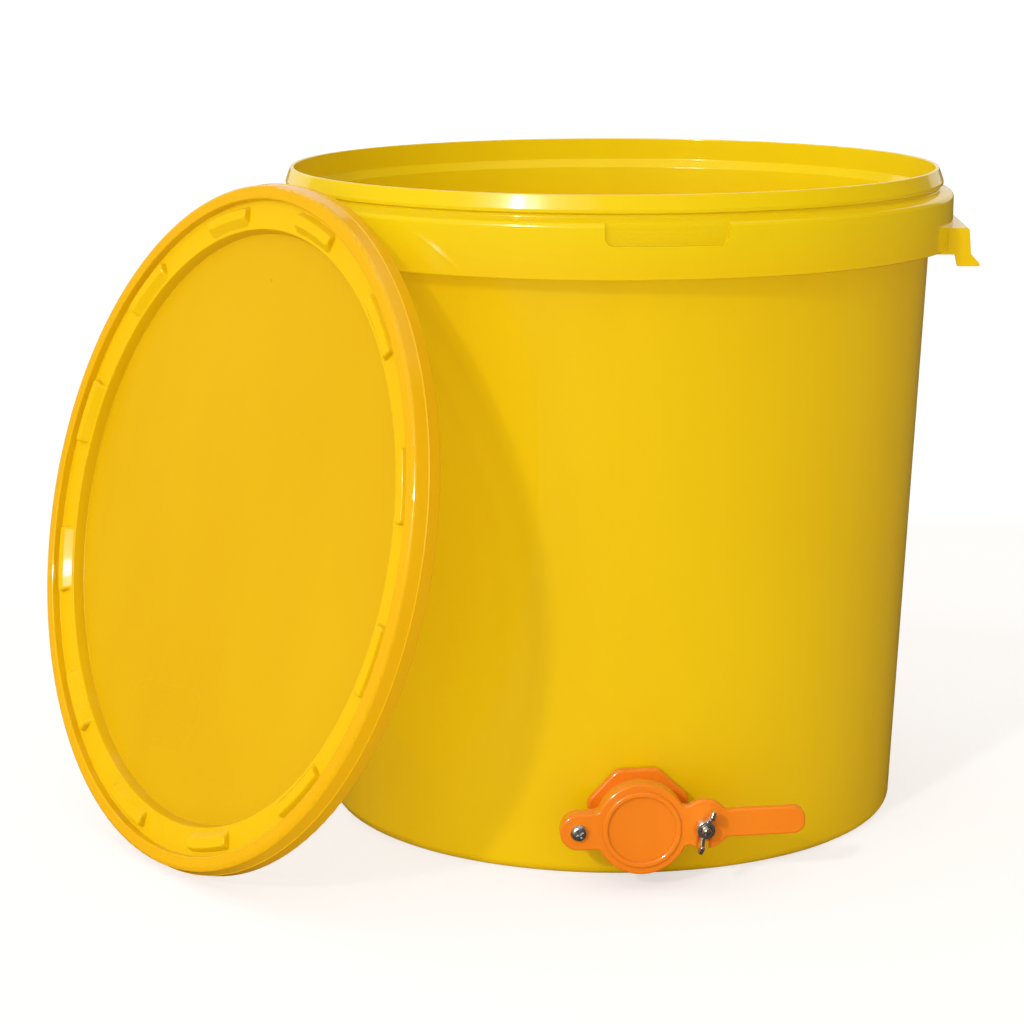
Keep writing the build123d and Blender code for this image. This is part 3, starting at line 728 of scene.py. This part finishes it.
# %% Put the finishes on
finishes = {
    "bucket_plastic": bucket_plastic,
    "lid_plastic": lid_plastic,
    "gate_plastic": gate_plastic,
    "gasket_rubber": gasket_rubber,
    "fastener_steel": fastener_steel,
}
for part in record["subparts"]:
    for slot in nodes[part["node"]].material_slots:
        slot.material = finishes[part["material_slot"]]
print(f"finishes: {len(finishes)} on {len(nodes)} nodes")

# %% [markdown]
# ## Turned pieces
#
# A bolt, a boss or a ring is a section carried round an axis. By hand it is drawn as a chain
# of vertices, closed, its corners rounded one by one, and then spun. Done this way every
# rounding has its own radius, which a bevel over the finished piece can't give. Bevel wants
# to know how far from the corner its arc starts, which is the radius times the tangent of
# half the turn.

# %% Draw and turn sections
SMALLEST_ARC = 3  # segments
ARC_SEGMENTS = 6  # to a radian
TURN_STEPS = 64
WELD = 0.002 * MM


def nearest_vertex(piece, place):
    """Selects the one vertex of the piece in edit mode that lies nearest to a place."""
    bpy.ops.mesh.select_all(action="DESELECT")
    mesh = bmesh.from_edit_mesh(piece.data)
    nearest = min(mesh.verts, key=lambda vertex: (vertex.co - Vector(place)).length)
    nearest.select_set(True)
    bmesh.update_edit_mesh(piece.data)


def draw_section(name, corners):
    """A closed flat face from corners (across, up, radius) in the XZ plane, in edit mode."""
    bpy.ops.object.select_all(action="DESELECT")
    bpy.ops.mesh.primitive_plane_add(size=MM)
    piece = bpy.context.object
    piece.name = name
    bpy.ops.object.mode_set(mode="EDIT")
    bpy.ops.mesh.merge(type="CENTER")
    bpy.ops.transform.translate(value=(corners[0][0] * MM, 0, corners[0][1] * MM))
    for (x, z, _), (next_x, next_z, _) in zip(corners, corners[1:]):
        step = ((next_x - x) * MM, 0, (next_z - z) * MM)
        bpy.ops.mesh.extrude_vertices_move(TRANSFORM_OT_translate={"value": step})
    bpy.ops.mesh.select_all(action="SELECT")
    bpy.ops.mesh.edge_face_add()
    for index, (x, z, radius) in enumerate(corners):
        if radius:
            before, after = corners[index - 1], corners[(index + 1) % len(corners)]
            turn = atan2(after[1] - z, after[0] - x) - atan2(z - before[1], x - before[0])
            turn = abs((turn + pi) % (2 * pi) - pi)
            nearest_vertex(piece, (x * MM, 0, z * MM))
            bpy.ops.mesh.bevel(
                offset=radius * MM * tan(turn / 2), offset_type="OFFSET", affect="VERTICES",
                segments=max(SMALLEST_ARC, round(ARC_SEGMENTS * turn)), profile=0.5,
                clamp_overlap=False)
    return piece


def turn_section(name, corners):
    """A section spun round the Z axis and closed."""
    piece = draw_section(name, corners)
    bpy.ops.mesh.select_all(action="SELECT")
    bpy.ops.mesh.delete(type="ONLY_FACE")
    bpy.ops.mesh.select_all(action="SELECT")
    bpy.ops.mesh.spin(steps=TURN_STEPS, angle=2 * pi, center=(0, 0, 0), axis=(0, 0, 1))
    bpy.ops.mesh.select_all(action="SELECT")
    bpy.ops.mesh.remove_doubles(threshold=WELD)
    bpy.ops.mesh.delete_loose(use_verts=True, use_edges=True, use_faces=False)
    bpy.ops.mesh.select_all(action="SELECT")
    bpy.ops.mesh.normals_make_consistent(inside=False)
    bpy.ops.object.mode_set(mode="OBJECT")
    return piece


print(f"sections: turned in {TURN_STEPS} steps")

# %% [markdown]
# ## Finishing a piece
#
# Parts of a piece are joined, a modifier is added and applied at once, and the piece is put
# in its place at the end, in its mesh, so that its object stays at the origin as the solids'
# do. The gate lies a little turned in its wall, and its own frame is kept as a matrix: X
# across the gate, Y up it, and Z out of the wall.

# %% Make the placing helpers
GATE_HEIGHT = 35.6 * MM
GATE_ROLL = radians(2.0)
EAR_REACH = 34.0 * MM
gate_axes = Matrix(((cos(GATE_ROLL), -sin(GATE_ROLL), 0), (0, 0, -1),
                    (sin(GATE_ROLL), cos(GATE_ROLL), 0)))
GATE_FRAME = Matrix.Translation((0, 0, GATE_HEIGHT)) @ gate_axes.to_4x4()
CLAMP_FRAME = GATE_FRAME @ Matrix.Translation((EAR_REACH, 0, 0))


def join(pieces):
    """Several objects made into the first of them."""
    bpy.ops.object.select_all(action="DESELECT")
    for piece in pieces:
        piece.select_set(True)
    bpy.context.view_layer.objects.active = pieces[0]
    bpy.ops.object.join()
    return pieces[0]


def apply_modifier(piece, kind, **settings):
    """Adds one modifier and applies it."""
    bpy.context.view_layer.objects.active = piece
    made = piece.modifiers.new(kind.lower(), kind)
    for name, value in settings.items():
        setattr(made, name, value)
    bpy.ops.object.modifier_apply(modifier=made.name)


def settle(piece, place, body, replaced, slot, angle=35):
    """Puts a finished piece in its place, gives it its finish, and has it ride on its body."""
    bpy.ops.object.select_all(action="DESELECT")
    piece.select_set(True)
    bpy.context.view_layer.objects.active = piece
    piece.matrix_world = place
    bpy.ops.object.transform_apply(location=True, rotation=True, scale=True)
    bpy.ops.object.shade_smooth_by_angle(angle=radians(angle))
    piece.data.materials.clear()
    piece.data.materials.append(finishes[slot])
    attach(piece, body)
    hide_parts(replaced)
    mesh = bmesh.new()
    mesh.from_mesh(piece.data)
    gaps = sum(len(edge.link_faces) != 2 for edge in mesh.edges)
    triangles = sum(len(face.verts) - 2 for face in mesh.faces)
    volume = mesh.calc_volume() / MM**3
    mesh.free()
    print(f"{piece.name}: {triangles} triangles, {volume:.0f} mm3, {gaps} open edges")


print(f"gate frame: {GATE_HEIGHT / MM:.1f} mm up, rolled {degrees(GATE_ROLL):.0f} degrees")

# %% [markdown]
# ## The clamp bolt
#
# The plate is clamped by a small bolt whose domed, polished end stands out of the wing nut,
# and it is the brightest spot on the gate. The thread is drawn in the section as ridges one
# pitch apart: at this size a helix can't be told from rings, and rings stay closed. The hexagon
# head sits in a pocket behind the ear.

# %% Turn the clamp bolt
BOLT_RADIUS = 2.5
ROOT_RADIUS = 2.1  # at the bottom of the thread
THREAD_PITCH = 0.8
CREST = (0.35, 0.45)  # where the ridge's flat top starts and ends, above its root
CREST_ROUND = 0.05
DOME_ROUND = 2.1
HEAD_FLATS = 8.0
HEAD_HEIGHT = 3.5
HEAD_BEVEL = 0.35
SHANK_IN_HEAD = 0.5

bolt_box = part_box("clamp_bolt")
bolt_back, bolt_tip = -bolt_box[1][1] / MM, -bolt_box[0][1] / MM
bolt_length = bolt_tip - bolt_back
threads = int((bolt_length - HEAD_HEIGHT - DOME_ROUND - 1.2) / THREAD_PITCH)
thread_end = bolt_length - DOME_ROUND - 0.5
thread_start = thread_end - threads * THREAD_PITCH
shank_start = HEAD_HEIGHT - SHANK_IN_HEAD
section = [(0, shank_start, 0), (ROOT_RADIUS, shank_start, 0)]
for index in range(threads):
    root = thread_start + index * THREAD_PITCH
    section.append((ROOT_RADIUS, root, 0))
    section += [(BOLT_RADIUS, root + rise, CREST_ROUND) for rise in CREST]
section += [(ROOT_RADIUS, thread_end, 0), (BOLT_RADIUS, thread_end + 0.3, 0.1),
            (BOLT_RADIUS, bolt_length, DOME_ROUND), (0, bolt_length, 0)]
shank = turn_section("clamp_bolt_dressed", section)

bpy.ops.object.select_all(action="DESELECT")
bpy.ops.mesh.primitive_cylinder_add(
    vertices=6, radius=HEAD_FLATS / 2 / cos(pi / 6) * MM, depth=HEAD_HEIGHT * MM,
    location=(0, 0, HEAD_HEIGHT / 2 * MM))
bolt_head = bpy.context.object
bpy.ops.object.transform_apply(location=True)
apply_modifier(bolt_head, "BEVEL", width=HEAD_BEVEL * MM, segments=3)
clamp_bolt = join([shank, bolt_head])
settle(clamp_bolt, CLAMP_FRAME @ Matrix.Translation((0, 0, bolt_back * MM)),
       "bucket_body", "clamp_bolt", "fastener_steel")

# %% [markdown]
# ## The wing nut
#
# A wing nut is cast in one piece: a tapered boss with two thin wings that sweep forward, every
# junction a soft hollow and every edge worn round. Bevels can't blend such shapes, so boss and
# wings are modelled apart, overlapping, and then remeshed into one skin of small squares that
# a smoothing pass melts together. One wing is drawn and turned round for the other.

# %% Cast the wing nut
BORE_RADIUS = 2.56
BOSS_BASE, BOSS_CROWN, BOSS_HEIGHT = 5.7, 4.9, 6.0
WING_ROOT, WING_TIP, WING_TOP = 3.4, 12.75, 12.5
WING_THICKNESS = 2.3
WING_SWEEP = 2.4  # radius of the long hollows and of the heel
WING_CORNER = 1.3
WING_WORN = 0.8
WING_TURN = radians(-20.0)
CAST_GRAIN = 0.2
CAST_SMOOTHING = 7

boss = turn_section("wing_nut_cast", [
    (BORE_RADIUS, 0.3, 0), (BORE_RADIUS + 0.5, 0, 0), (BOSS_BASE, 0, 0.5),
    (BOSS_CROWN, BOSS_HEIGHT, 0.9), (BORE_RADIUS + 0.6, BOSS_HEIGHT, 0.2),
    (BORE_RADIUS, BOSS_HEIGHT - 0.6, 0)])
wings = []
for half_turn in (0, pi):
    wing = draw_section("wing", [
        (WING_ROOT, 1.0, 0), (BOSS_BASE + 1.6, 1.6, WING_SWEEP),
        (WING_TIP, WING_TOP - 5.6, WING_SWEEP), (WING_TIP - 0.4, WING_TOP - 1.5, WING_CORNER),
        (WING_TIP - 4.6, WING_TOP, WING_CORNER),
        (BOSS_CROWN + 0.6, BOSS_HEIGHT - 0.5, WING_SWEEP), (WING_ROOT, BOSS_HEIGHT - 0.6, 0)])
    bpy.ops.mesh.select_all(action="SELECT")
    bpy.ops.transform.translate(value=(0, -WING_THICKNESS / 2 * MM, 0))
    bpy.ops.mesh.extrude_region_move(
        TRANSFORM_OT_translate={"value": (0, WING_THICKNESS * MM, 0)})
    bpy.ops.mesh.select_all(action="SELECT")
    bpy.ops.mesh.normals_make_consistent(inside=False)
    bpy.ops.object.mode_set(mode="OBJECT")
    apply_modifier(wing, "BEVEL", width=WING_WORN * MM, segments=4,
                   angle_limit=radians(60), limit_method="ANGLE")
    wing.matrix_world = Matrix.Rotation(half_turn, 4, "Z")
    bpy.ops.object.transform_apply(rotation=True)
    wings.append(wing)
wing_nut = join([boss, *wings])
apply_modifier(wing_nut, "REMESH", mode="VOXEL", voxel_size=CAST_GRAIN * MM)
apply_modifier(wing_nut, "SMOOTH", factor=0.5, iterations=CAST_SMOOTHING)
nut_base = -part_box("wing_nut")[1][1]
nut_turn = Matrix.Rotation(pi / 2 + WING_TURN, 4, "Z")
settle(wing_nut, CLAMP_FRAME @ Matrix.Translation((0, 0, nut_base)) @ nut_turn,
       "wing", "wing_nut", "fastener_steel", angle=180)
